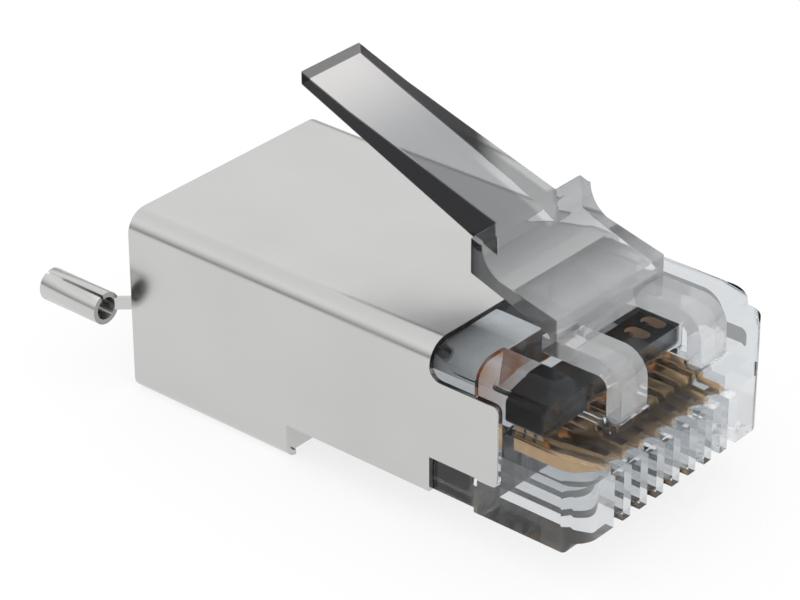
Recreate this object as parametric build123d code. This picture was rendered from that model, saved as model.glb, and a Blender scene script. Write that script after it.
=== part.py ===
"""Shielded eight-way modular plug, latch side up, in millimetres.

X runs across the plug, Y from the nose towards the cable and Z towards the latch. Sizes along Y are
counted from the nose face. The written parts are shifted so that the origin is the middle of the flat
underside behind the step.
"""

import os

from build123d import *

os.makedirs("parts", exist_ok=True)

# Whole plug
WIDTH = 11.68  # across the nose and the side panels
NOSE_HEIGHT = 6.5  # rib crests to the latch side
REAR_DROP = 1.6  # the rear underside lies this far below the rib crests
LENGTH = 23.0  # nose face to the rear edge of the shield
STEP_Y = 14.65  # step in the underside
TOP = REAR_DROP + NOSE_HEIGHT
HALF = WIDTH / 2
REST_CENTRE_Y = (STEP_Y + LENGTH) / 2

# Shield sheet
SHEET = 0.22
SEAT_GAP = 0.03  # between the sheet and the moulding it is folded round
TOP_BEND = 0.95  # outer radius along the latch side
BOTTOM_BEND = 0.55
SHIELD_FRONT = 7.3
FLAP_FRONT = 4.0
FLAP_LOW = 3.15
FLAP_HIGH = 6.6
FLAP_ROOT_ROUND = 0.5  # hollow corner where a flap's upper edge meets its panel
FLAP_TIP_ROUND = 0.25
LIP_SETBACK = 0.3  # the turned-up lip of the bottom panel behind the cut edges of the sides
SEAM_X = 3.1
SEAM = 0.12
WINDOW_LENGTH = 3.0
WINDOW_WIDTH = 7.4
WINDOW_FROM_STEP = 0.95
WINDOW_ROUND = 0.4

# Drain-wire barrel rolled from a tail of the shield
BARREL_R = 0.7
BARREL_LENGTH = 3.1
BARREL_START = 0.5  # behind the rear edge
BARREL_OUT = 0.93  # axis outside the side panel's face
BARREL_Z = 4.0
BARREL_SEAM = 0.12
BARREL_SEAM_TURN = 20  # degrees from straight up, away from the plug
NECK_HEIGHT = 0.55

# Clear housing
BAND_FRONT = 5.1  # the nose is full size ahead of this, and the sheet's seat lies behind it
HOUSING_REAR_GAP = 0.25  # the moulding ends inside the rear edge of the shield
NOSE_CORNER_ROUND = 1.0  # upright front corners
LEDGE_TOP = 7.0  # low ledge ahead of the two side blocks
LEDGE_ROUND = 0.3
BLOCK_FRONT = 1.1  # the side blocks beside the latch stand back from the nose face
BLOCK_ROUND = 1.0
RECESS_HALF = 4.2  # channel between the blocks, which the latch is pressed into
RECESS_FLOOR = 6.4
FLOOR_ROUND = 0.2
RIB_SETBACK = 0.6  # step in the lower front edge, across the whole width
RIB_RISE = 0.5
RIB_ROUND = 0.35
FLAP_GAP = 0.06

# Ribs, slots and contacts
CONTACTS = 8
PITCH = 1.02
SLOT_WIDTH = 0.56
SLOT_END = 5.0
SLOT_TOP = 4.35
BLADE = 0.32
BLADE_GAP = 0.02  # each side of a blade in its slit
BLADE_FRONT = 0.75
BLADE_TAIL = 0.05  # behind the last prong
BLADE_LOW = 3.7
BLADE_DEEP = 0.75
BLADE_RUN = 1.3  # sloping front of the mating edge
BLADE_RISE = 0.6
BLADE_ROUND = 0.8
PRONG_PITCH = 0.5
PRONG_HALF = 0.2
PRONG_TIP = 0.08  # half width of a prong's blunt tip
PRONG_HIGH = 5.75
PRONG_OFFSET = 0.12  # the prongs lean to alternate sides to straddle a conductor

# Wire guide
GUIDE_FRONT = 3.0
GUIDE_REAR = 4.8
GUIDE_WALL = 0.15  # beside the outer wire holes
GUIDE_STOP = 0.3  # closed front wall that the wire ends butt against
GUIDE_LOW = 4.95
GUIDE_HIGH = 6.1
GUIDE_GAP = 0.05
GUIDE_ROUND = 0.25
WIRE_R = 0.38
SIGHTS = 2  # openings over the last wire holes, round at both ends
SIGHT_WIDTH = 0.72
SIGHT_LENGTH = 1.1
PANELS = 3  # shallow panels sunk in the front face
PANEL_RIM = 0.12
PANEL_DEPTH = 0.08
PANEL_ROUND = 0.15

# Cable bay and strain relief
BAY_HALF = 4.5
BAY_HIGH = 6.95
BAY_LOW = 2.6  # ahead of the step
BAY_REAR_LOW = 1.15
BAY_FRONT = 9.4
BAY_ROUND = 1.0
FUNNEL_LENGTH = 2.2
RELIEF_HALF = 3.2
RELIEF_LENGTH = 2.3
RELIEF_GAP = 0.3
RELIEF_WEB = 0.35
RELIEF_RISE = 0.9

# Latch
HINGE_Y = 0.6
LEG_IN = 1.67
PLATE_HALF = 3.3
LEG_THICK = 0.72
LEG_TOP = 8.6
LEG_BEND = 1.15  # outer radius where a leg turns down to the nose
FOOT_GAP = 0.05
PLATE_FRONT = 3.3
PLATE_FRONT_TOP = 9.5
PLATE_LEAD = 0.4  # slope of the plate's underside behind its front face
PLATE_LOW = 8.75
RIDGE_Y = 6.05
RIDGE_TOP = 10.15
RIDGE_THICK = 0.6
CREST_Y = 7.05
CREST_TOP = 11.4
RAMP_HOLLOW = 0.16  # of the curved ramp from ridge to crest
CREST_LAND = 0.15
SHOULDER_Y = 7.45
SHOULDER_LOW = 10.0
TIP_Y = 17.3
TIP_TOP = 14.68
TIP_THICK = 0.58
TIP_SAG = 0.045  # of the upper face between the kink and the tip
KINK_Y = 13.6
KINK_SAG = 0.096  # of the lever below the straight line from crest to tip
LEVER_HALF = 1.78
TIP_HALF = 1.71

INSET = SHEET + SEAT_GAP
HINGE_Z = RECESS_FLOOR
FOOT_R = LEG_THICK / 2
WIRE_Z = (GUIDE_LOW + GUIDE_HIGH) / 2
GUIDE_HALF = (CONTACTS - 1) / 2 * PITCH + WIRE_R + GUIDE_WALL
GUIDE_MIDDLE = (GUIDE_FRONT + GUIDE_REAR) / 2
PRONG_YS = [GUIDE_MIDDLE + step * PRONG_PITCH for step in (-1, 0, 1)]
BLADE_REAR = PRONG_YS[-1] + PRONG_HALF + BLADE_TAIL
BLADE_HIGH = BLADE_LOW + BLADE_DEEP
PRONG_BEND = GUIDE_LOW - GUIDE_GAP
KINK_SHARE = (KINK_Y - CREST_Y) / (TIP_Y - CREST_Y)
KINK_TOP = CREST_TOP + (TIP_TOP - CREST_TOP) * KINK_SHARE - KINK_SAG
CONTACT_XS = [(i - (CONTACTS - 1) / 2) * PITCH for i in range(CONTACTS)]


def span(x, y, z):
    """A box between two limits on each axis."""
    size = [high - low for low, high in (x, y, z)]
    middle = [(high + low) / 2 for low, high in (x, y, z)]
    return Pos(*middle) * Box(*size)


def across(outline, half, x=0.0):
    """A side profile in Y and Z, pulled across the plug about x."""
    return Pos(x, 0, 0) * extrude(Plane.YZ * outline, half, both=True)


def polygon(*points):
    return make_face(Polyline(*points, close=True))


def rounded(face, radius, *corners):
    """Rounds the corners of a flat outline nearest to the given points."""
    picked = [face.vertices().sort_by_distance((*corner, 0))[0] for corner in corners]
    return fillet(picked, radius)


def section(inset, low, top_round, low_round):
    """Cross section of the plug in X and Z, inset from its outside."""
    half = HALF - inset
    high = TOP - inset
    outline = polygon((-half, low), (half, low), (half, high), (-half, high))
    outline = rounded(outline, top_round - inset, (-half, high), (half, high))
    if low_round > inset:
        outline = rounded(outline, low_round - inset, (-half, low), (half, low))
    return outline


def along(outline, start, end):
    """A cross section in X and Z, pulled from start to end along Y."""
    return Pos(0, start, 0) * extrude(Plane.XZ * outline, -(end - start))


def nose_profile(top, front, top_round):
    """Side profile of the nose up to one level, rounded at its upper front corner."""
    low = REAR_DROP
    outline = polygon((front, low), (BAND_FRONT, low), (BAND_FRONT, top), (front, top))
    return rounded(outline, top_round, (front, top))


def nose():
    """Solid front of the housing: a channel for the latch between two blocks, over the ribs."""
    channel = span((-RECESS_HALF, RECESS_HALF), (0, BAND_FRONT), (0, TOP))
    ledge = nose_profile(LEDGE_TOP, 0, LEDGE_ROUND)
    block = nose_profile(TOP, BLOCK_FRONT, BLOCK_ROUND)
    body = across(ledge + block, HALF) - channel
    body += across(nose_profile(RECESS_FLOOR, 0, FLOOR_ROUND), RECESS_HALF)
    plan = polygon((-HALF, 0), (HALF, 0), (HALF, BAND_FRONT), (-HALF, BAND_FRONT))
    plan = rounded(plan, NOSE_CORNER_ROUND, (-HALF, 0), (HALF, 0))
    body &= extrude(plan, TOP)
    body &= along(section(0, REAR_DROP, TOP_BEND, 0), 0, BAND_FRONT)
    return body - rib_setback()


def rib_setback():
    """Step under the lower front edge, with the crests of the ribs rounded behind it."""
    low = REAR_DROP
    back = RIB_SETBACK + RIB_ROUND
    step = polygon((0, low), (RIB_SETBACK, low), (RIB_SETBACK, low + RIB_RISE), (0, low + RIB_RISE))
    corner = polygon(
        (RIB_SETBACK, low), (back, low), (back, low + RIB_ROUND), (RIB_SETBACK, low + RIB_ROUND)
    )
    return across(step + (corner - Pos(back, low + RIB_ROUND) * Circle(RIB_ROUND)), HALF)


def core():
    """Hollow rear of the housing, which the sheet is folded round."""
    rear = LENGTH - HOUSING_REAR_GAP
    step = STEP_Y + LIP_SETBACK + INSET
    ahead = along(section(INSET, REAR_DROP, TOP_BEND, 0), BAND_FRONT, rear)
    behind = along(section(INSET, INSET, TOP_BEND, BOTTOM_BEND), step, rear)
    bay = polygon((-BAY_HALF, BAY_LOW), (BAY_HALF, BAY_LOW), (BAY_HALF, BAY_HIGH), (-BAY_HALF, BAY_HIGH))
    bay = rounded(bay, BAY_ROUND, (-BAY_HALF, BAY_HIGH), (BAY_HALF, BAY_HIGH))
    low = polygon(
        (-BAY_HALF, BAY_REAR_LOW), (BAY_HALF, BAY_REAR_LOW), (BAY_HALF, BAY_HIGH), (-BAY_HALF, BAY_HIGH)
    )
    low = rounded(
        low, BAY_ROUND,
        (-BAY_HALF, BAY_HIGH), (BAY_HALF, BAY_HIGH), (-BAY_HALF, BAY_REAR_LOW), (BAY_HALF, BAY_REAR_LOW),
    )
    wall = BAY_LOW - REAR_DROP
    return ahead + behind - along(bay, BAY_FRONT, rear) - along(low, step + wall, rear)


def guide_pocket():
    """Room for the wire guide, and the funnel that leads the wires to it."""
    pocket = span(
        (-GUIDE_HALF - GUIDE_GAP, GUIDE_HALF + GUIDE_GAP),
        (GUIDE_FRONT - GUIDE_GAP, BAY_FRONT),
        (GUIDE_LOW - GUIDE_GAP, GUIDE_HIGH + GUIDE_GAP),
    )
    start = BAY_FRONT - FUNNEL_LENGTH
    funnel = polygon(
        (start, GUIDE_LOW - GUIDE_GAP), (BAY_FRONT, BAY_LOW), (BAY_FRONT, BAY_HIGH),
        (start, GUIDE_HIGH + GUIDE_GAP),
    )
    return pocket + across(funnel, GUIDE_HALF + GUIDE_GAP)


def flap_outline(gap):
    """Side profile of a shield flap, grown by gap for the seat it drops into."""
    outline = polygon(
        (FLAP_FRONT - gap, FLAP_LOW - gap), (SHIELD_FRONT, FLAP_LOW - gap),
        (SHIELD_FRONT, FLAP_HIGH + gap), (FLAP_FRONT - gap, FLAP_HIGH + gap),
    )
    corners = ((FLAP_FRONT - gap, FLAP_LOW - gap), (FLAP_FRONT - gap, FLAP_HIGH + gap))
    return rounded(outline, FLAP_TIP_ROUND + gap, *corners)


def flap_root():
    """Hollow corner between the upper edge of a flap and the front edge of its panel."""
    front = SHIELD_FRONT - FLAP_ROOT_ROUND
    high = FLAP_HIGH + FLAP_ROOT_ROUND
    corner = polygon((front, FLAP_HIGH), (SHIELD_FRONT, FLAP_HIGH), (SHIELD_FRONT, high), (front, high))
    return corner - Pos(front, high) * Circle(FLAP_ROOT_ROUND)


def flap_seats():
    outline = across(flap_outline(FLAP_GAP), HALF)
    return outline - span((INSET - HALF, HALF - INSET), (0, LENGTH), (0, TOP))


def slots():
    """Guide slots between the ribs, with a tight slit for each blade above."""
    cut = None
    for x in CONTACT_XS:
        guide = span((x - SLOT_WIDTH / 2, x + SLOT_WIDTH / 2), (0, SLOT_END), (0, SLOT_TOP))
        half = BLADE / 2 + BLADE_GAP
        slit = span(
            (x - half, x + half), (BLADE_FRONT - BLADE_GAP, BLADE_REAR + BLADE_GAP),
            (SLOT_TOP, GUIDE_LOW),
        )
        cut = guide + slit if cut is None else cut + guide + slit
    return cut


def relief_opening():
    """Opening in the rear floor round the strain-relief bar, open all round but at its web."""
    front = STEP_Y + WINDOW_FROM_STEP
    return span(
        (-RELIEF_HALF - RELIEF_GAP, RELIEF_HALF + RELIEF_GAP),
        (front, front + RELIEF_LENGTH + RELIEF_GAP),
        (0, BAY_REAR_LOW),
    )


def relief_bar():
    """Wedge that a crimp tool presses onto the cable jacket, hung on a thin web."""
    front = STEP_Y + WINDOW_FROM_STEP
    wedge = polygon(
        (front, BAY_REAR_LOW - RELIEF_WEB), (front + RELIEF_GAP, INSET), (front + RELIEF_LENGTH, INSET),
        (front + RELIEF_LENGTH, BAY_REAR_LOW + RELIEF_RISE), (front + RELIEF_GAP, BAY_REAR_LOW),
        (front, BAY_REAR_LOW),
    )
    return across(wedge, RELIEF_HALF)


def foot_seats():
    """Half-round seats in the recess floor for the feet of the latch."""
    seat = Pos(HINGE_Y, HINGE_Z) * Circle(FOOT_R + FOOT_GAP)
    half = (PLATE_HALF - LEG_IN) / 2 + FOOT_GAP
    middle = (PLATE_HALF + LEG_IN) / 2
    return across(seat, half, middle) + across(seat, half, -middle)


def housing():
    body = nose() + core()
    body -= guide_pocket()
    body -= flap_seats()
    body -= slots()
    body -= foot_seats()
    return body - relief_opening() + relief_bar()


def contact(x):
    """Gold blade with its mating edge below and three prongs above, leaning to alternate sides."""
    blade = polygon(
        (BLADE_FRONT + BLADE_RUN, BLADE_LOW), (BLADE_REAR, BLADE_LOW), (BLADE_REAR, BLADE_HIGH),
        (BLADE_FRONT, BLADE_HIGH), (BLADE_FRONT, BLADE_LOW + BLADE_RISE),
    )
    blade = rounded(blade, BLADE_ROUND, (BLADE_FRONT + BLADE_RUN, BLADE_LOW))
    blade = across(blade, BLADE / 2, x)
    for number, y in enumerate(PRONG_YS):
        aside = PRONG_OFFSET * (-1) ** number
        across_x = (x - BLADE / 2, x + BLADE / 2)
        blade += span(across_x, (y - PRONG_HALF, y + PRONG_HALF), (BLADE_HIGH, PRONG_BEND))
        root = Plane(origin=(x, y, PRONG_BEND)) * Rectangle(BLADE, 2 * PRONG_HALF)
        tip = Plane(origin=(x + aside, y, PRONG_HIGH)) * Rectangle(BLADE, 2 * PRONG_TIP)
        blade += loft([root, tip])
    return blade


def wire_guide():
    """Dark bar that holds the eight wires in a row over the contact prongs."""
    bar = span((-GUIDE_HALF, GUIDE_HALF), (GUIDE_FRONT, GUIDE_REAR), (GUIDE_LOW, GUIDE_HIGH))
    bar = fillet(bar.edges().filter_by(Axis.Y), GUIDE_ROUND)
    half = BLADE / 2 + BLADE_GAP + PRONG_OFFSET
    front = PRONG_YS[0] - PRONG_HALF - BLADE_GAP
    for x in CONTACT_XS:
        bar -= along(Pos(x, WIRE_Z) * Circle(WIRE_R), GUIDE_FRONT + GUIDE_STOP, GUIDE_REAR)
        bar -= span((x - half, x + half), (front, BLADE_REAR + BLADE_GAP), (GUIDE_LOW, WIRE_Z))
    for x in CONTACT_XS[-SIGHTS:]:
        sight = Pos(x, GUIDE_MIDDLE, WIRE_Z) * Rot(0, 0, 90) * SlotOverall(SIGHT_LENGTH, SIGHT_WIDTH)
        bar -= extrude(sight, GUIDE_HIGH - WIRE_Z)
    return bar - guide_panels()


def guide_panels():
    """Shallow rounded panels side by side in the front face of the wire guide."""
    pitch = (2 * GUIDE_HALF - PANEL_RIM) / PANELS
    panel = Rectangle(pitch - PANEL_RIM, GUIDE_HIGH - GUIDE_LOW - 2 * PANEL_RIM)
    panel = fillet(panel.vertices(), PANEL_ROUND)
    cut = None
    for number in range(PANELS):
        x = (number - (PANELS - 1) / 2) * pitch
        sunk = along(Pos(x, WIRE_Z) * panel, GUIDE_FRONT, GUIDE_FRONT + PANEL_DEPTH)
        cut = sunk if cut is None else cut + sunk
    return cut


def side_panels():
    """Side walls of the shield ahead of the step, with their forward flaps."""
    sides = along(section(0, REAR_DROP, TOP_BEND, 0), SHIELD_FRONT, STEP_Y)
    inner = section(SHEET, REAR_DROP - SHEET, TOP_BEND, 0)
    sides -= along(inner, SHIELD_FRONT, STEP_Y)
    sides -= span((SHEET - HALF, HALF - SHEET), (0, STEP_Y), (0, TOP - TOP_BEND))
    flaps = across(flap_outline(0) + flap_root(), HALF)
    flaps -= span((SHEET - HALF, HALF - SHEET), (0, LENGTH), (0, TOP))
    return sides + flaps


def rear_box():
    """Closed rear of the shield, with the lip of its bottom panel turned up at the step."""
    outer = along(section(0, 0, TOP_BEND, BOTTOM_BEND), STEP_Y, LENGTH)
    inner = along(section(SHEET, SHEET, TOP_BEND, BOTTOM_BEND), STEP_Y, LENGTH)
    lip_back = STEP_Y + LIP_SETBACK + SHEET
    lip = along(section(SHEET, SHEET, TOP_BEND, BOTTOM_BEND), STEP_Y + LIP_SETBACK, lip_back)
    lip &= span((-HALF, HALF), (STEP_Y, LENGTH), (0, REAR_DROP))
    bottom_front = span((BOTTOM_BEND - HALF, HALF - BOTTOM_BEND), (STEP_Y, STEP_Y + LIP_SETBACK), (0, SHEET))
    box = outer - inner + lip - bottom_front
    seam = span((SEAM_X, SEAM_X + SEAM), (STEP_Y, LENGTH), (0, SHEET))
    window = Rectangle(WINDOW_WIDTH, WINDOW_LENGTH)
    window = fillet(window.vertices(), WINDOW_ROUND)
    middle = STEP_Y + WINDOW_FROM_STEP + WINDOW_LENGTH / 2
    window = Pos(0, middle, 0) * extrude(window, SHEET)
    return box - seam - window


def barrel():
    """Short tube on a thin neck, rolled from the rear edge of the left side panel."""
    axis_x = -HALF - BARREL_OUT
    start = LENGTH + BARREL_START
    ring = Circle(BARREL_R) - Circle(BARREL_R - SHEET)
    tube = along(Pos(axis_x, BARREL_Z) * ring, start, start + BARREL_LENGTH)
    seam = span((-BARREL_SEAM / 2, BARREL_SEAM / 2), (start, start + BARREL_LENGTH), (0, BARREL_R))
    tube -= Pos(axis_x, 0, BARREL_Z) * Rot(0, -BARREL_SEAM_TURN, 0) * seam
    wall_x = axis_x + BARREL_R - SHEET
    strip = polygon(
        (-HALF, LENGTH), (SHEET - HALF, LENGTH), (wall_x + SHEET, start), (wall_x + SHEET, start + SHEET),
        (wall_x, start + SHEET), (wall_x, start),
    )
    neck = Pos(0, 0, BARREL_Z - NECK_HEIGHT / 2) * extrude(strip, NECK_HEIGHT)
    return tube + neck


def shield():
    return side_panels() + rear_box() + barrel()


def lever_outline():
    """Side profile of the latch from the front of its plate to the tip of its lever."""
    ramp_y = (RIDGE_Y + CREST_Y - CREST_LAND) / 2 + RAMP_HOLLOW
    ramp_top = (RIDGE_TOP + CREST_TOP) / 2 - RAMP_HOLLOW
    middle_y = (KINK_Y + TIP_Y) / 2
    middle_top = (KINK_TOP + TIP_TOP) / 2 - TIP_SAG
    return make_face([
        Polyline((TIP_Y, TIP_TOP), (TIP_Y, TIP_TOP - TIP_THICK), (SHOULDER_Y, SHOULDER_LOW),
                 (RIDGE_Y, RIDGE_TOP - RIDGE_THICK), (PLATE_FRONT + PLATE_LEAD, PLATE_LOW),
                 (PLATE_FRONT, LEG_TOP - LEG_THICK),
                 (PLATE_FRONT, PLATE_FRONT_TOP), (RIDGE_Y, RIDGE_TOP)),
        ThreePointArc((RIDGE_Y, RIDGE_TOP), (ramp_y, ramp_top), (CREST_Y - CREST_LAND, CREST_TOP)),
        Polyline((CREST_Y - CREST_LAND, CREST_TOP), (CREST_Y, CREST_TOP), (KINK_Y, KINK_TOP)),
        ThreePointArc((KINK_Y, KINK_TOP), (middle_y, middle_top), (TIP_Y, TIP_TOP)),
    ])


def leg_outline():
    """Side profile of a leg: a foot in its seat, a bend over the nose and a flat run to the plate."""
    front = HINGE_Y - FOOT_R
    inner = LEG_BEND - LEG_THICK
    run = polygon(
        (front, HINGE_Z), (front + LEG_THICK, HINGE_Z), (front + LEG_THICK, LEG_TOP - LEG_THICK),
        (PLATE_FRONT + LEG_THICK, LEG_TOP - LEG_THICK), (PLATE_FRONT + LEG_THICK, LEG_TOP),
        (front, LEG_TOP),
    )
    run = rounded(run, LEG_BEND, (front, LEG_TOP))
    run = rounded(run, inner, (front + LEG_THICK, LEG_TOP - LEG_THICK))
    return run + Pos(HINGE_Y, HINGE_Z) * Circle(FOOT_R)


def latch():
    """Lever, locking shoulders and plate on two legs, which stand on the nose."""
    plan = polygon(
        (-PLATE_HALF, 0), (PLATE_HALF, 0), (PLATE_HALF, SHOULDER_Y), (LEVER_HALF, SHOULDER_Y),
        (TIP_HALF, TIP_Y), (-TIP_HALF, TIP_Y), (-LEVER_HALF, SHOULDER_Y), (-PLATE_HALF, SHOULDER_Y),
    )
    body = across(lever_outline(), PLATE_HALF) & extrude(plan, 2 * TIP_TOP)
    middle = (PLATE_HALF + LEG_IN) / 2
    for x in (-middle, middle):
        body += across(leg_outline(), (PLATE_HALF - LEG_IN) / 2, x)
    return body


def write(name, shape):
    export_step(Pos(0, -REST_CENTRE_Y, 0) * shape, f"parts/{name}.step")


write("housing", housing())
write("latch", latch())
write("shield", shield())
write("wire_guide", wire_guide())
for number, position in enumerate(CONTACT_XS, start=1):
    write(f"contact_{number}", contact(position))
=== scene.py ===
"""Looks of the shielded eight-way modular plug, in metres, in the part's own frame.

X runs across the plug, Y from the nose towards the cable and Z towards the latch.
"""

import math

import bmesh
import bpy
from mathutils import Matrix, Vector


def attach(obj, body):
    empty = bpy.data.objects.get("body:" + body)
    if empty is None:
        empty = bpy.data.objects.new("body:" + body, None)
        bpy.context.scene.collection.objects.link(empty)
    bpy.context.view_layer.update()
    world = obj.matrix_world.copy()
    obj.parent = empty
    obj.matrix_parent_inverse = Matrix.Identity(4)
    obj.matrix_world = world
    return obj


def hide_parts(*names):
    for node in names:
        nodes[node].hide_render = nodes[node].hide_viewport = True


MM = 0.001

# The camera stands where the plug's known corners put it
CAMERA_PLACE = Vector((-90.28, -82.65, 73.63)) * MM
CAMERA_AZIMUTH = math.radians(-49.33)
CAMERA_ELEVATION = math.radians(29.951)
CAMERA_ROLL = math.radians(-0.185)
CAMERA_LENS = 155.48
SENSOR_WIDTH = 36.0
CLIP_START = 0.005
CLIP_END = 20

# Softened edges
MERGE = 0.002 * MM
EDGE_ROUND = 0.06 * MM
SHEET_EDGE_ROUND = 0.035 * MM
EDGE_STEPS = 2
FLAT_ANGLE = math.radians(2)
SHARP_ANGLE = math.radians(35)

# Sockets of a Mix node, for colours and for plain values
COLOUR_A = 6
COLOUR_B = 7
MIXED_COLOUR = 2
VALUE_A = 2
VALUE_B = 3

# Clear plastic: it bends light less than the textbook 1.58, because the pieces inside show nearly
# undistorted through the top, while the ribs below repeat their edges in each other more strongly.
# A thin skin of the usual index carries the gloss
TOP_IOR = 1.09
RIB_IOR = 1.18
LATCH_IOR = 1.1
SKIN_IOR = 1.58
TOP_SKIN = 0.2  # weight of that skin: more of it makes the inside look milky
RIB_SKIN = 0.7
RIB_TOP = 4.6 * MM  # above the slots, under the wire guide
TOP_TINTS = ("#e0e3e5", "#d5d9dc")  # where the plastic is clearest, and where it is smokiest
RIB_TINTS = ("#e8eaec", "#dadddf")
GRAZED_SHADE_TINT = "#54585c"  # painted shade on faces seen edge on, drawing dark contours on the rounded edges
GRAZING_BLEND = 0.3
GRAZING = (0.36, 0.8)  # how far a face has turned away when that starts, and when it is full
GRAZED_SHARE = 0.85

# Marks of making, as the distance from one to the next, and how each pattern is drawn out. Rolling
# lines, stamping lines and the nylon's grain are finer on a real plug: they are drawn as coarse as
# they need to show
FLOW_WAVE = 1.6 * MM
FLOW_DRAWN = (1, 0.4, 1)
LEVER_WAVE = 1.4 * MM
LEVER_DRAWN = (1, 0.35, 1)
HAZE_CLOUD = 0.8 * MM
ROLLING_LINE = 0.09 * MM
ROLLING_DRAWN = (1, 0.033, 1)
SHEET_CLOUD = 5 * MM
STAMPING_LINE = 0.06 * MM
STAMPING_DRAWN = (1, 1, 0.08)
GOLD_CLOUD = 0.5 * MM
NYLON_GRAIN = 0.12 * MM
NOISE = (0.35, 0.65)  # a noise pattern seldom leaves this range

# How strongly those marks show as relief, and how high they stand
MOULDED_RELIEF = (0.02, 0.02 * MM)
LEVER_RELIEF = (0.05, 0.02 * MM)
SHEET_RELIEF = (0.05, 0.004 * MM)
GOLD_RELIEF = (0.12, 0.004 * MM)
NYLON_RELIEF = (0.2, 0.008 * MM)

# Roughness of the finishes, where 0 is a mirror, and its range where clouds vary it
HAZE = (0.0, 0.03)
LEVER_ROUGHNESS = 0.08
SKIN_ROUGHNESS = 0.03
SHEET_ROUGHNESS = (0.2, 0.25)
GOLD_ROUGHNESS = 0.26
NYLON_ROUGHNESS = 0.3

# Places along the latch, from its tip at the rear to its feet at the nose
ARM_TIP = -1.5 * MM
ARM_FULLY_SHADED = -6.5 * MM
ARM_RIGHT_FADES = (-9.0 * MM, -7.4 * MM)
ARM_EDGE = (1.25 * MM, 1.45 * MM)  # the lower arm's right edge catches the light from here on
ARM_ROOT = -11.4 * MM
ARM_ROOT_BLUR = 0.2 * MM
RIDGE = -12.8 * MM
RIDGE_BLUR = 0.5 * MM
PLATE_FRONT = -15.5 * MM

# Painted shade that blackens the latch's cut sides and tip, and the latch's tones from the arm's
# tip to the plate
SIDE_FACING = (0.6, 0.95)  # how squarely a face looks sideways when it starts to be a cut side
SIDE_FADES = 0.5 * MM
LEFT_SIDE_SHADE = 0.8  # how dark the painted shade on the left side is from the shoulders forward
RIGHT_SIDE_SHADE = 0.08  # how dark the painted shade on the right side is below its fade
SIDE_OF_LEG = 0.1
# colour of the painted shade on the sides and the tip
SIDE_SHADE_TINT = "#050506"
# faces at the arm's tip turned this far along the plug get painted shade, this strong and this deep
END_FACING = (0.45, 0.7)
END_SHARE = 0.92
END_DEPTH = 0.15 * MM
LEG_BLUR = 0.2 * MM
# the arm's tint at its tip, and where painted shade has darkened it fully
ARM_TINTS = ("#dcdad9", "#a4a6a8")
# the plate's pale tone, also painted as a highlight along the lower arm's right edge
PLATE_AND_HIGHLIGHT_TINT = "#eeeff0"
ARM_SKIN = 0.4
SIDE_SKIN = 0.3
LEG_CLEARNESS = 0.76  # the legs that flex are a little milky

# Band of the housing between the nose and the shield, and the walls of the latch's channel
BAND_FRONT = -13.725 * MM
BAND_REAR = -11.5 * MM
BAND_BLUR = 0.1 * MM
BAND_LOW = 6.97 * MM
BAND_ASIDE = (2.4 * MM, 3.4 * MM)  # the band darkens between these distances from the middle
BAND_SHADE = (0.5, 0.995)  # share of painted shade at the band's front and rear
BAND_MIDDLE = 0.1  # share of that painted shade at the middle
# colour of the painted shade on the band
BAND_SHADE_TINT = "#08080a"
CHANNEL_FLOOR = 6.3 * MM
CHANNEL_HALF = 4.25 * MM
WALL_FOOT = 6.4 * MM
WALL_HEAD = 8.1 * MM
WALL_HEAD_REFLECTION = 0.5  # share of the painted reflection of the gold at the top of the wall behind the latch
BLOCK_REFLECTION_REACH = 2.2 * MM  # the painted reflection of the gold also reaches this far into the left block beside the channel
BLOCK_INSIDE = 4.15 * MM
PITCH = 1.02 * MM
WAVE_PERIOD = math.pi / 10  # a wave pattern of scale 1 repeats after this
STRIPE_WANDER = 0.6
BETWEEN_CONTACTS = 0.55  # share of that painted reflection between two contacts
# colour of that painted reflection
COPPER_REFLECTION_TINT = "#a8642c"
RIGHT_WALL = 4.2 * MM  # the right-hand wall of that channel, which gets painted shade
RIGHT_WALL_SHADE_SHARE = 0.8
RIGHT_WALL_SHADE_TINT = "#101113"
ON_FACE = 0.05 * MM  # a point this close to a plane lies on it

# Middle of the two sights in the wire guide, and how far they reach from it
SIGHTS_MIDDLE = (3.06 * MM, -14.925 * MM)
SIGHTS_REACH = (0.88 * MM, 0.56 * MM)
SIGHTS_DEPTH = (5.0 * MM, 6.06 * MM)
# painted light in the sights, standing for the lit gold of the contacts inside
SIGHT_PAINTED_LIGHT_TINT = "#ffe2c0"
PANEL_FACE = -15.745 * MM  # the panels sunk in the guide's front are polished, and a paler colour there is a painted sheen
ON_PANEL = 0.02 * MM
PANEL_SHEEN_TINT = "#3c3e42"

# Plating and nylon, from one end of their clouds to the other
SHEET_TONES = ("#cacac9", "#c4c4c3")
GOLD_TONES = ("#f4cfa0", "#cf9f68")
NYLON_TONES = ("#0a0b0c", "#141517")

# Studio
FLOOR_REACH = 3.0
FLOOR_LEVEL = -0.02 * MM  # just clear of the plug's flat underside
FLOOR_GLOW = 0.8  # share of the floor's white that a shadow can't take away
PAPER_TINT = "#f2f2f2"
LIGHT_LEVELS = (  # height of a direction, as its Z, and how bright the room is there
    (-0.04, 0.26),
    (0.08, 0.3),
    (0.26, 0.8),
    (0.5, 1.12),
    (1.0, 0.9),
)
SOFTBOX_PLACE = Vector((-0.10, -0.05, 0.25))
SOFTBOX_TARGET = Vector((0, 0, 0.005))
SOFTBOX_SIZE = 0.3
SOFTBOX_POWER = 0.14

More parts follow.
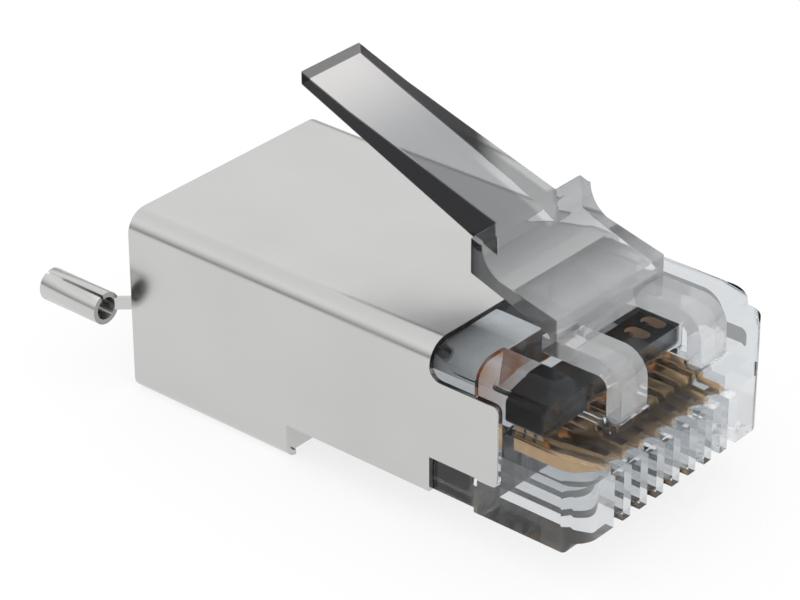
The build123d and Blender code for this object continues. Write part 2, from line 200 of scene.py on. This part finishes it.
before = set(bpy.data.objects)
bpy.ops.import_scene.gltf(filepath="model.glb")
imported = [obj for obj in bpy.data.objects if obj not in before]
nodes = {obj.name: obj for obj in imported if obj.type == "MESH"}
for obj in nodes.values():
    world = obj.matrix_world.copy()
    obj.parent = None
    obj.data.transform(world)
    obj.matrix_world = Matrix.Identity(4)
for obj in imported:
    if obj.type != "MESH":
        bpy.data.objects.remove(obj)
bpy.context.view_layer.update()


def linear(hex_colour):
    """An sRGB hex colour as linear RGBA."""
    channels = [int(hex_colour[i:i + 2], 16) / 255 for i in (1, 3, 5)]
    straight = [c / 12.92 if c <= 0.04045 else ((c + 0.055) / 1.055) ** 2.4 for c in channels]
    return (*straight, 1.0)


def node(tree, kind, links=(), values=(), **settings):
    """Adds a node: links and values name a socket or give its number, settings are by name."""
    made = tree.nodes.new(kind)
    for key, value in settings.items():
        if hasattr(made, key):
            setattr(made, key, value)
        else:
            made.inputs[key.replace("_", " ")].default_value = value
    for place, value in values:
        made.inputs[place].default_value = value
    for source, place in links:
        tree.links.new(source, made.inputs[place])
    return made


def fresh(name):
    """A material with an empty node tree, and that tree."""
    material = bpy.data.materials.new(name)
    material.use_nodes = True
    material.node_tree.nodes.clear()
    return material, material.node_tree


def painted_shade_band(tree, spot, colour):
    """Painted shade over a colour in the band behind the nose, darker towards the shield and the
    sides.
    """
    front = node(tree, "ShaderNodeMapRange", [(spot.outputs["Y"], "Value")],
                 From_Min=BAND_FRONT, From_Max=BAND_FRONT + BAND_BLUR)
    rear = node(tree, "ShaderNodeMapRange", [(spot.outputs["Y"], "Value")], From_Min=BAND_FRONT,
                From_Max=BAND_REAR, To_Min=BAND_SHADE[0], To_Max=BAND_SHADE[1])
    above = node(tree, "ShaderNodeMath", [(spot.outputs["Z"], 0)], [(1, BAND_LOW)],
                 operation="GREATER_THAN")
    aside = node(tree, "ShaderNodeMath", [(spot.outputs["X"], 0)], operation="ABSOLUTE")
    outer = node(tree, "ShaderNodeMapRange", [(aside.outputs[0], "Value")],
                 From_Min=BAND_ASIDE[0], From_Max=BAND_ASIDE[1], To_Min=BAND_MIDDLE)
    share = front.outputs[0]
    for mask in (rear, above, outer):
        share = node(tree, "ShaderNodeMath", [(share, 0), (mask.outputs[0], 1)],
                     operation="MULTIPLY").outputs[0]
    band_shaded = node(tree, "ShaderNodeMix", [(share, 0), (colour, COLOUR_A)],
                  [(COLOUR_B, linear(BAND_SHADE_TINT))], data_type="RGBA")
    return band_shaded.outputs[MIXED_COLOUR]


def painted_contact_reflection(tree, place, spot, colour):
    """Painted reflection of the contacts' copper over a colour, on the walls behind the latch and
    left of it.
    """
    over_floor = node(tree, "ShaderNodeMath", [(spot.outputs["Z"], 0)], [(1, CHANNEL_FLOOR)],
                      operation="GREATER_THAN")
    aside = node(tree, "ShaderNodeMath", [(spot.outputs["X"], 0)], operation="ABSOLUTE")
    in_channel = node(tree, "ShaderNodeMath", [(aside.outputs[0], 0)], [(1, CHANNEL_HALF)],
                      operation="LESS_THAN")
    at_wall = node(tree, "ShaderNodeMath", [(spot.outputs["Y"], 0)],
                   [(1, BAND_FRONT), (2, ON_FACE)], operation="COMPARE")
    up_wall = node(tree, "ShaderNodeMapRange", [(spot.outputs["Z"], "Value")],
                   From_Min=WALL_FOOT, From_Max=WALL_HEAD, To_Min=1.0, To_Max=WALL_HEAD_REFLECTION)
    on_wall = at_wall.outputs[0]
    for mask in (up_wall, over_floor, in_channel):
        on_wall = node(tree, "ShaderNodeMath", [(on_wall, 0), (mask.outputs[0], 1)],
                       operation="MULTIPLY").outputs[0]

    nearing = node(tree, "ShaderNodeMapRange", [(spot.outputs["Y"], "Value")],
                   From_Min=BAND_FRONT - BLOCK_REFLECTION_REACH, From_Max=BAND_FRONT)
    ahead = node(tree, "ShaderNodeMapRange", [(spot.outputs["Y"], "Value")], From_Min=BAND_FRONT,
                 From_Max=BAND_FRONT + BAND_BLUR, To_Min=1.0, To_Max=0.0)
    in_block = node(tree, "ShaderNodeMath", [(spot.outputs["X"], 0)], [(1, -BLOCK_INSIDE)],
                    operation="LESS_THAN")
    on_block = nearing.outputs[0]
    for mask in (ahead, in_block, over_floor):
        on_block = node(tree, "ShaderNodeMath", [(on_block, 0), (mask.outputs[0], 1)],
                        operation="MULTIPLY").outputs[0]

    either = node(tree, "ShaderNodeMath", [(on_wall, 0), (on_block, 1)], operation="MAXIMUM")
    stripe = node(tree, "ShaderNodeTexWave", [(place.outputs["Object"], "Vector")],
                  Scale=WAVE_PERIOD / PITCH, Distortion=STRIPE_WANDER, Detail=1.0,
                  bands_direction="X")
    striped = node(tree, "ShaderNodeMapRange", [(stripe.outputs["Fac"], "Value")],
                   To_Min=BETWEEN_CONTACTS)
    share = node(tree, "ShaderNodeMath", [(either.outputs[0], 0), (striped.outputs[0], 1)],
                 operation="MULTIPLY")
    warm = node(tree, "ShaderNodeMix", [(share.outputs[0], 0), (colour, COLOUR_A)],
                [(COLOUR_B, linear(COPPER_REFLECTION_TINT))], data_type="RGBA")
    return warm.outputs[MIXED_COLOUR]


def painted_shade_right_wall(tree, spot, colour):
    """Painted shade over a colour on the right-hand wall of the latch's channel."""
    at_wall = node(tree, "ShaderNodeMath", [(spot.outputs["X"], 0)],
                   [(1, RIGHT_WALL), (2, ON_FACE)], operation="COMPARE")
    over_floor = node(tree, "ShaderNodeMath", [(spot.outputs["Z"], 0)], [(1, CHANNEL_FLOOR)],
                      operation="GREATER_THAN")
    upper = node(tree, "ShaderNodeMath", [(at_wall.outputs[0], 0), (over_floor.outputs[0], 1)],
                 operation="MULTIPLY")
    share = node(tree, "ShaderNodeMath", [(upper.outputs[0], 0)], [(1, RIGHT_WALL_SHADE_SHARE)],
                 operation="MULTIPLY")
    walled = node(tree, "ShaderNodeMix", [(share.outputs[0], 0), (colour, COLOUR_A)],
                  [(COLOUR_B, linear(RIGHT_WALL_SHADE_TINT))], data_type="RGBA")
    return walled.outputs[MIXED_COLOUR]


def moulded_polycarbonate(name, ior, skin, tints):
    """Injection-moulded clear polycarbonate: glossy and faintly smoky, with slow flow waves.

    The band behind the nose and the right wall of the latch's channel get painted shade, the walls
    round the latch a painted reflection of the contacts' gold, and faces seen edge on painted dark
    contours.
    """
    material, tree = fresh(name)
    place = node(tree, "ShaderNodeTexCoord")
    drawn = node(tree, "ShaderNodeMapping", [(place.outputs["Object"], "Vector")],
                 Scale=FLOW_DRAWN)
    waves = node(tree, "ShaderNodeTexNoise", [(drawn.outputs[0], "Vector")],
                 Scale=1 / FLOW_WAVE, Detail=1.0)
    bump = node(tree, "ShaderNodeBump", [(waves.outputs["Fac"], "Height")],
                Strength=MOULDED_RELIEF[0], Distance=MOULDED_RELIEF[1])
    clouds = node(tree, "ShaderNodeTexNoise", [(place.outputs["Object"], "Vector")],
                  Scale=1 / HAZE_CLOUD, Detail=2.0)
    haze = node(tree, "ShaderNodeMapRange", [(clouds.outputs["Fac"], "Value")],
                From_Min=NOISE[0], From_Max=NOISE[1], To_Min=HAZE[0], To_Max=HAZE[1])
    smoke = node(tree, "ShaderNodeMix", [(waves.outputs["Fac"], 0)],
                 [(COLOUR_A, linear(tints[0])), (COLOUR_B, linear(tints[1]))], data_type="RGBA")

    spot = node(tree, "ShaderNodeSeparateXYZ", [(place.outputs["Object"], 0)])
    band_shaded = painted_shade_band(tree, spot, smoke.outputs[MIXED_COLOUR])
    warm = painted_contact_reflection(tree, place, spot, band_shaded)
    walled = painted_shade_right_wall(tree, spot, warm)

    # Painted shade on faces seen edge on
    layer = node(tree, "ShaderNodeLayerWeight", Blend=GRAZING_BLEND)
    grazed = node(tree, "ShaderNodeMapRange", [(layer.outputs["Facing"], "Value")],
                  From_Min=GRAZING[0], From_Max=GRAZING[1], To_Max=GRAZED_SHARE)
    edged = node(tree, "ShaderNodeMix", [(grazed.outputs[0], 0), (walled, COLOUR_A)],
                 [(COLOUR_B, linear(GRAZED_SHADE_TINT))], data_type="RGBA")

    clear = node(tree, "ShaderNodeBsdfPrincipled",
                 [(bump.outputs[0], "Normal"), (haze.outputs[0], "Roughness"),
                  (edged.outputs[MIXED_COLOUR], "Base Color")],
                 IOR=ior, Transmission_Weight=1.0, Coat_Weight=skin, Coat_IOR=SKIN_IOR,
                 Coat_Roughness=SKIN_ROUGHNESS)
    node(tree, "ShaderNodeOutputMaterial", [(clear.outputs[0], "Surface")])
    return material


def painted_shade_sides(tree, place, spot):
    """How much painted shade blackens each face of the latch: its cut sides, less so by the
    shoulders, and its tip.
    """
    facing = node(tree, "ShaderNodeSeparateXYZ", [(place.outputs["Normal"], 0)])
    sideways = node(tree, "ShaderNodeMath", [(facing.outputs["X"], 0)], operation="ABSOLUTE")
    cut = node(tree, "ShaderNodeMapRange", [(sideways.outputs[0], "Value")],
               From_Min=SIDE_FACING[0], From_Max=SIDE_FACING[1])
    left = node(tree, "ShaderNodeMapRange", [(spot.outputs["Y"], "Value")],
                From_Min=ARM_ROOT - SIDE_FADES, From_Max=ARM_ROOT, To_Min=LEFT_SIDE_SHADE)
    right = node(tree, "ShaderNodeMapRange", [(spot.outputs["Y"], "Value")],
                 From_Min=ARM_RIGHT_FADES[0], From_Max=ARM_RIGHT_FADES[1], To_Min=RIGHT_SIDE_SHADE,
                 interpolation_type="SMOOTHSTEP")
    on_right = node(tree, "ShaderNodeMath", [(spot.outputs["X"], 0)], [(1, 0.0)],
                    operation="GREATER_THAN")
    strength = node(tree, "ShaderNodeMix", [(on_right.outputs[0], 0), (left.outputs[0], VALUE_A),
                                            (right.outputs[0], VALUE_B)])
    above_leg = node(tree, "ShaderNodeMapRange", [(spot.outputs["Y"], "Value")],
                     From_Min=PLATE_FRONT - LEG_BLUR, From_Max=PLATE_FRONT, To_Min=SIDE_OF_LEG)
    sides = cut.outputs[0]
    for mask in (strength, above_leg):
        sides = node(tree, "ShaderNodeMath", [(sides, 0), (mask.outputs[0], 1)],
                     operation="MULTIPLY").outputs[0]

    endways = node(tree, "ShaderNodeMath", [(facing.outputs["Y"], 0)], operation="ABSOLUTE")
    end = node(tree, "ShaderNodeMapRange", [(endways.outputs[0], "Value")],
               From_Min=END_FACING[0], From_Max=END_FACING[1], To_Max=END_SHARE)
    at_tip = node(tree, "ShaderNodeMath", [(spot.outputs["Y"], 0)], [(1, ARM_TIP - END_DEPTH)],
                  operation="GREATER_THAN")
    tip_end = node(tree, "ShaderNodeMath", [(end.outputs[0], 0), (at_tip.outputs[0], 1)],
                   operation="MULTIPLY")
    black = node(tree, "ShaderNodeMath", [(sides, 0), (tip_end.outputs[0], 1)],
                 operation="MAXIMUM")
    return black.outputs[0]


def lever_tones(tree, spot):
    """The latch's colour: painted shade darkening it down the arm, pale at the plate, and a painted
    highlight along its lower right edge.
    """
    depth = node(tree, "ShaderNodeMapRange", [(spot.outputs["Y"], "Value")],
                 From_Min=ARM_TIP, From_Max=ARM_FULLY_SHADED, interpolation_type="SMOOTHSTEP")
    arm = node(tree, "ShaderNodeMix", [(depth.outputs[0], 0)],
               [(COLOUR_A, linear(ARM_TINTS[0])), (COLOUR_B, linear(ARM_TINTS[1]))],
               data_type="RGBA")
    over_plate = node(tree, "ShaderNodeMapRange", [(spot.outputs["Y"], "Value")],
                      From_Min=ARM_ROOT, From_Max=PLATE_FRONT)
    plated = node(tree, "ShaderNodeMix",
                  [(over_plate.outputs[0], 0), (arm.outputs[MIXED_COLOUR], COLOUR_A)],
                  [(COLOUR_B, linear(PLATE_AND_HIGHLIGHT_TINT))], data_type="RGBA")
    # Painted highlight along the lower arm's right edge
    low = node(tree, "ShaderNodeMapRange", [(spot.outputs["Y"], "Value")],
               From_Min=ARM_RIGHT_FADES[0], From_Max=ARM_RIGHT_FADES[1], To_Min=1.0, To_Max=0.0)
    behind_root = node(tree, "ShaderNodeMapRange", [(spot.outputs["Y"], "Value")],
                       From_Min=ARM_ROOT, From_Max=ARM_ROOT + ARM_ROOT_BLUR)
    at_edge = node(tree, "ShaderNodeMapRange", [(spot.outputs["X"], "Value")],
                   From_Min=ARM_EDGE[0], From_Max=ARM_EDGE[1])
    glint = low.outputs[0]
    for mask in (behind_root, at_edge):
        glint = node(tree, "ShaderNodeMath", [(glint, 0), (mask.outputs[0], 1)],
                     operation="MULTIPLY").outputs[0]
    face = node(tree, "ShaderNodeMix", [(glint, 0), (plated.outputs[MIXED_COLOUR], COLOUR_A)],
                [(COLOUR_B, linear(PLATE_AND_HIGHLIGHT_TINT))], data_type="RGBA")
    return face.outputs[MIXED_COLOUR]


def lever_polycarbonate():
    """The same clear moulding: painted shade blackens the arm's cut sides, and the legs that flex
    are milky.
    """
    material, tree = fresh("clear_polycarbonate_painted_shade_and_glint")
    place = node(tree, "ShaderNodeTexCoord")
    drawn = node(tree, "ShaderNodeMapping", [(place.outputs["Object"], "Vector")],
                 Scale=LEVER_DRAWN)
    waves = node(tree, "ShaderNodeTexNoise", [(drawn.outputs[0], "Vector")],
                 Scale=1 / LEVER_WAVE, Detail=1.0)
    bump = node(tree, "ShaderNodeBump", [(waves.outputs["Fac"], "Height")],
                Strength=LEVER_RELIEF[0], Distance=LEVER_RELIEF[1])
    spot = node(tree, "ShaderNodeSeparateXYZ", [(place.outputs["Object"], 0)])
    black = painted_shade_sides(tree, place, spot)
    tint = node(tree, "ShaderNodeMix", [(black, 0), (lever_tones(tree, spot), COLOUR_A)],
                [(COLOUR_B, linear(SIDE_SHADE_TINT))], data_type="RGBA")

    glossy = node(tree, "ShaderNodeMapRange", [(spot.outputs["Y"], "Value")],
                  From_Min=RIDGE, From_Max=RIDGE + RIDGE_BLUR, To_Min=1.0, To_Max=ARM_SKIN)
    dulled = node(tree, "ShaderNodeMapRange", [(black, "Value")], To_Min=1.0, To_Max=SIDE_SKIN)
    skin = node(tree, "ShaderNodeMath", [(glossy.outputs[0], 0), (dulled.outputs[0], 1)],
                operation="MULTIPLY")
    milky = node(tree, "ShaderNodeMapRange", [(spot.outputs["Y"], "Value")],
                 From_Min=PLATE_FRONT, From_Max=ARM_ROOT, To_Min=LEG_CLEARNESS)
    clear = node(tree, "ShaderNodeBsdfPrincipled",
                 [(bump.outputs[0], "Normal"), (tint.outputs[MIXED_COLOUR], "Base Color"),
                  (skin.outputs[0], "Coat Weight"), (milky.outputs[0], "Transmission Weight")],
                 Roughness=LEVER_ROUGHNESS, IOR=LATCH_IOR, Coat_IOR=SKIN_IOR,
                 Coat_Roughness=SKIN_ROUGHNESS)
    node(tree, "ShaderNodeOutputMaterial", [(clear.outputs[0], "Surface")])
    return material


def nickel_plate():
    """Nickel-plated, cold-rolled spring sheet: a satin mirror with faint lines along the plug."""
    material, tree = fresh("nickel_plated_sheet")
    place = node(tree, "ShaderNodeTexCoord")
    drawn = node(tree, "ShaderNodeMapping", [(place.outputs["Object"], "Vector")],
                 Scale=ROLLING_DRAWN)
    rolling = node(tree, "ShaderNodeTexNoise", [(drawn.outputs[0], "Vector")],
                   Scale=1 / ROLLING_LINE, Detail=3.0)
    clouds = node(tree, "ShaderNodeTexNoise", [(place.outputs["Object"], "Vector")],
                  Scale=1 / SHEET_CLOUD, Detail=2.0)
    bump = node(tree, "ShaderNodeBump", [(rolling.outputs["Fac"], "Height")],
                Strength=SHEET_RELIEF[0], Distance=SHEET_RELIEF[1])
    rough = node(tree, "ShaderNodeMapRange", [(clouds.outputs["Fac"], "Value")],
                 From_Min=NOISE[0], From_Max=NOISE[1],
                 To_Min=SHEET_ROUGHNESS[0], To_Max=SHEET_ROUGHNESS[1])
    tone = node(tree, "ShaderNodeMix", [(clouds.outputs["Fac"], 0)],
                [(COLOUR_A, linear(SHEET_TONES[0])), (COLOUR_B, linear(SHEET_TONES[1]))],
                data_type="RGBA")
    metal = node(tree, "ShaderNodeBsdfPrincipled",
                 [(bump.outputs[0], "Normal"), (rough.outputs[0], "Roughness"),
                  (tone.outputs[MIXED_COLOUR], "Base Color")], Metallic=1.0)
    node(tree, "ShaderNodeOutputMaterial", [(metal.outputs[0], "Surface")])
    return material


def gold_plate():
    """Thin gold over nickel on stamped bronze: warm, a little dull, with stamping lines."""
    material, tree = fresh("gold_plated_bronze")
    place = node(tree, "ShaderNodeTexCoord")
    drawn = node(tree, "ShaderNodeMapping", [(place.outputs["Object"], "Vector")],
                 Scale=STAMPING_DRAWN)
    stamped = node(tree, "ShaderNodeTexNoise", [(drawn.outputs[0], "Vector")],
                   Scale=1 / STAMPING_LINE, Detail=2.0)
    clouds = node(tree, "ShaderNodeTexNoise", [(place.outputs["Object"], "Vector")],
                  Scale=1 / GOLD_CLOUD, Detail=2.0)
    bump = node(tree, "ShaderNodeBump", [(stamped.outputs["Fac"], "Height")],
                Strength=GOLD_RELIEF[0], Distance=GOLD_RELIEF[1])
    tone = node(tree, "ShaderNodeMix", [(clouds.outputs["Fac"], 0)],
                [(COLOUR_A, linear(GOLD_TONES[0])), (COLOUR_B, linear(GOLD_TONES[1]))],
                data_type="RGBA")
    metal = node(tree, "ShaderNodeBsdfPrincipled",
                 [(bump.outputs[0], "Normal"), (tone.outputs[MIXED_COLOUR], "Base Color")],
                 Metallic=1.0, Roughness=GOLD_ROUGHNESS)
    node(tree, "ShaderNodeOutputMaterial", [(metal.outputs[0], "Surface")])
    return material


def dark_plastic():
    """Black nylon with a fine matt grain: pale copper painted in the sights of the wire guide
    stands for the lit gold of the contacts there, and the sunk front panels get a painted sheen.
    """
    material, tree = fresh("black_moulded_nylon")
    place = node(tree, "ShaderNodeTexCoord")
    grain = node(tree, "ShaderNodeTexNoise", [(place.outputs["Object"], "Vector")],
                 Scale=1 / NYLON_GRAIN, Detail=2.0)
    bump = node(tree, "ShaderNodeBump", [(grain.outputs["Fac"], "Height")],
                Strength=NYLON_RELIEF[0], Distance=NYLON_RELIEF[1])
    tone = node(tree, "ShaderNodeMix", [(grain.outputs["Fac"], 0)],
                [(COLOUR_A, linear(NYLON_TONES[0])), (COLOUR_B, linear(NYLON_TONES[1]))],
                data_type="RGBA")
    spot = node(tree, "ShaderNodeSeparateXYZ", [(place.outputs["Object"], 0)])
    # Painted sheen on the sunk front panels
    sunk = node(tree, "ShaderNodeMath", [(spot.outputs["Y"], 0)],
                [(1, PANEL_FACE), (2, ON_PANEL)], operation="COMPARE")
    panel = node(tree, "ShaderNodeMix",
                 [(sunk.outputs[0], 0), (tone.outputs[MIXED_COLOUR], COLOUR_A)],
                 [(COLOUR_B, linear(PANEL_SHEEN_TINT))], data_type="RGBA")

    across = node(tree, "ShaderNodeMath", [(spot.outputs["X"], 0)],
                  [(1, SIGHTS_MIDDLE[0]), (2, SIGHTS_REACH[0])], operation="COMPARE")
    along = node(tree, "ShaderNodeMath", [(spot.outputs["Y"], 0)],
                 [(1, SIGHTS_MIDDLE[1]), (2, SIGHTS_REACH[1])], operation="COMPARE")
    above = node(tree, "ShaderNodeMath", [(spot.outputs["Z"], 0)], [(1, SIGHTS_DEPTH[0])],
                 operation="GREATER_THAN")
    below = node(tree, "ShaderNodeMath", [(spot.outputs["Z"], 0)], [(1, SIGHTS_DEPTH[1])],
                 operation="LESS_THAN")
    in_sight = across.outputs[0]
    for mask in (along, above, below):
        in_sight = node(tree, "ShaderNodeMath", [(in_sight, 0), (mask.outputs[0], 1)],
                        operation="MULTIPLY").outputs[0]
    seen = node(tree, "ShaderNodeMix", [(in_sight, 0), (panel.outputs[MIXED_COLOUR], COLOUR_A)],
                [(COLOUR_B, linear(SIGHT_PAINTED_LIGHT_TINT))], data_type="RGBA")
    plastic = node(tree, "ShaderNodeBsdfPrincipled",
                   [(bump.outputs[0], "Normal"), (seen.outputs[MIXED_COLOUR], "Base Color")],
                   Roughness=NYLON_ROUGHNESS)
    node(tree, "ShaderNodeOutputMaterial", [(plastic.outputs[0], "Surface")])
    return material


def assign(piece, material):
    """Gives a CAD piece its one material."""
    piece.data.materials.clear()
    piece.data.materials.append(material)


def softened(name, body, slot, radius, *materials):
    """A copy of a node with its sharp edges rounded off as the mould or the press leaves them.

    A second material goes on the faces below the top of the ribs.
    """
    work = bmesh.new()
    work.from_mesh(nodes[name].data)
    bmesh.ops.remove_doubles(work, verts=work.verts, dist=MERGE)
    bmesh.ops.dissolve_limit(work, angle_limit=FLAT_ANGLE, verts=work.verts, edges=work.edges)
    if len(materials) > 1:
        everything = [*work.verts, *work.edges, *work.faces]
        bmesh.ops.bisect_plane(work, geom=everything, plane_co=(0, 0, RIB_TOP), plane_no=(0, 0, 1))
        for face in work.faces:
            face.material_index = int(face.calc_center_median().z < RIB_TOP)
    for face in work.faces:
        bends = [edge.calc_face_angle(0) for edge in face.edges]
        face.smooth = any(FLAT_ANGLE < bend < SHARP_ANGLE for bend in bends)
    mesh = bpy.data.meshes.new(f"{name}_finished")
    for material in materials:
        mesh.materials.append(material)
    work.to_mesh(mesh)
    work.free()
    piece = bpy.data.objects.new(f"{name}_finished", mesh)
    bpy.context.scene.collection.objects.link(piece)
    rounding = piece.modifiers.new("edge_round", "BEVEL")
    rounding.width = radius
    rounding.segments = EDGE_STEPS
    rounding.limit_method = "ANGLE"
    rounding.angle_limit = SHARP_ANGLE
    flats = piece.modifiers.new("flats_stay_flat", "WEIGHTED_NORMAL")
    flats.mode = "FACE_AREA"
    flats.keep_sharp = True
    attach(piece, body)
    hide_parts(name)


def seen_directly(tree):
    """One for what the camera, a mirror or clear plastic shows, and none for scattered light."""
    path = node(tree, "ShaderNodeLightPath")
    seen = path.outputs["Is Camera Ray"]
    for ray in ("Is Glossy Ray", "Is Transmission Ray"):
        seen = node(tree, "ShaderNodeMath", [(seen, 0), (path.outputs[ray], 1)],
                    operation="MAXIMUM").outputs[0]
    return seen


def floor():
    """Plain white paper: nearly all its white is its own glow, and the rest takes the shadow."""
    mesh = bpy.data.meshes.new("floor")
    work = bmesh.new()
    bmesh.ops.create_grid(work, x_segments=1, y_segments=1, size=FLOOR_REACH)
    work.to_mesh(mesh)
    work.free()
    plane = bpy.data.objects.new("floor", mesh)
    plane.location.z = FLOOR_LEVEL
    bpy.context.scene.collection.objects.link(plane)
    material, tree = fresh("white_paper")
    scattered = node(tree, "ShaderNodeBsdfDiffuse", Color=linear(PAPER_TINT))
    shaded = node(tree, "ShaderNodeBsdfDiffuse", Color=(1 - FLOOR_GLOW,) * 3 + (1.0,))
    glow = node(tree, "ShaderNodeEmission", Strength=FLOOR_GLOW)
    both = node(tree, "ShaderNodeAddShader", [(shaded.outputs[0], 0), (glow.outputs[0], 1)])
    mixed = node(tree, "ShaderNodeMixShader",
                 [(seen_directly(tree), 0), (scattered.outputs[0], 1), (both.outputs[0], 2)])
    node(tree, "ShaderNodeOutputMaterial", [(mixed.outputs[0], "Surface")])
    mesh.materials.append(material)


def room():
    """Even studio light that darkens only towards the horizon, and white behind the plug.

    Clear plastic shows that white too. The sheet mirrors the studio, which draws its bends.
    """
    world = bpy.data.worlds.new("studio")
    bpy.context.scene.world = world
    world.use_nodes = True
    tree = world.node_tree
    tree.nodes.clear()
    place = node(tree, "ShaderNodeTexCoord")
    split = node(tree, "ShaderNodeSeparateXYZ", [(place.outputs["Generated"], 0)])
    height = node(tree, "ShaderNodeMapRange", [(split.outputs["Z"], 0)],
                  From_Min=-1.0, From_Max=1.0)
    ramp = node(tree, "ShaderNodeValToRGB", [(height.outputs[0], 0)])
    stops = ramp.color_ramp.elements
    while len(stops) < len(LIGHT_LEVELS):
        stops.new(0.5)
    for stop, (level, bright) in zip(stops, LIGHT_LEVELS):
        stop.position = (level + 1) / 2
        stop.color = (bright, bright, bright, 1)
    studio = node(tree, "ShaderNodeBackground", [(ramp.outputs[0], "Color")], Strength=1.0)
    white = node(tree, "ShaderNodeBackground", Color=(1, 1, 1, 1), Strength=1.0)
    path = node(tree, "ShaderNodeLightPath")
    behind = node(tree, "ShaderNodeMath", [(path.outputs["Is Camera Ray"], 0),
                                           (path.outputs["Is Transmission Ray"], 1)],
                  operation="MAXIMUM")
    mix = node(tree, "ShaderNodeMixShader",
               [(behind.outputs[0], 0), (studio.outputs[0], 1), (white.outputs[0], 2)])
    node(tree, "ShaderNodeOutputWorld", [(mix.outputs[0], "Surface")])


def softbox():
    """One large soft lamp, high over the front left."""
    lamp = bpy.data.lights.new("key", "AREA")
    lamp.size = SOFTBOX_SIZE
    lamp.energy = SOFTBOX_POWER
    made = bpy.data.objects.new("key", lamp)
    bpy.context.scene.collection.objects.link(made)
    direction = SOFTBOX_TARGET - SOFTBOX_PLACE
    turn = direction.to_track_quat("-Z", "Y").to_matrix().to_4x4()
    made.matrix_world = Matrix.Translation(SOFTBOX_PLACE) @ turn


def camera():
    """The camera that took the photo, as far as the plug's corners tell."""
    lens = bpy.data.cameras.new("camera")
    lens.lens = CAMERA_LENS
    lens.sensor_width = SENSOR_WIDTH
    lens.clip_start = CLIP_START
    lens.clip_end = CLIP_END
    flat = math.cos(CAMERA_ELEVATION)
    back = Vector((math.sin(CAMERA_AZIMUTH) * flat, -math.cos(CAMERA_AZIMUTH) * flat,
                   math.sin(CAMERA_ELEVATION)))
    right = Vector((math.cos(CAMERA_AZIMUTH), math.sin(CAMERA_AZIMUTH), 0))
    up = back.cross(right)
    turn = Matrix((right, up, back)).transposed() @ Matrix.Rotation(CAMERA_ROLL, 3, "Z")
    made = bpy.data.objects.new("camera", lens)
    bpy.context.scene.collection.objects.link(made)
    made.matrix_world = Matrix.Translation(CAMERA_PLACE) @ turn.to_4x4()
    bpy.context.scene.camera = made


softened("housing", "plug", "clear_plastic", EDGE_ROUND,
         moulded_polycarbonate("moulded_clear_polycarbonate", TOP_IOR, TOP_SKIN, TOP_TINTS),
         moulded_polycarbonate("ribbed_clear_polycarbonate", RIB_IOR, RIB_SKIN, RIB_TINTS))
softened("latch", "latch_lever", "clear_plastic", EDGE_ROUND, lever_polycarbonate())
softened("shield", "plug", "nickel_sheet", SHEET_EDGE_ROUND, nickel_plate())
gold = gold_plate()
assign(nodes["wire_guide"], dark_plastic())
for name, part in nodes.items():
    if name.startswith("contact_"):
        assign(part, gold)
floor()
room()
softbox()
camera()
bpy.context.scene.view_settings.view_transform = "Standard"
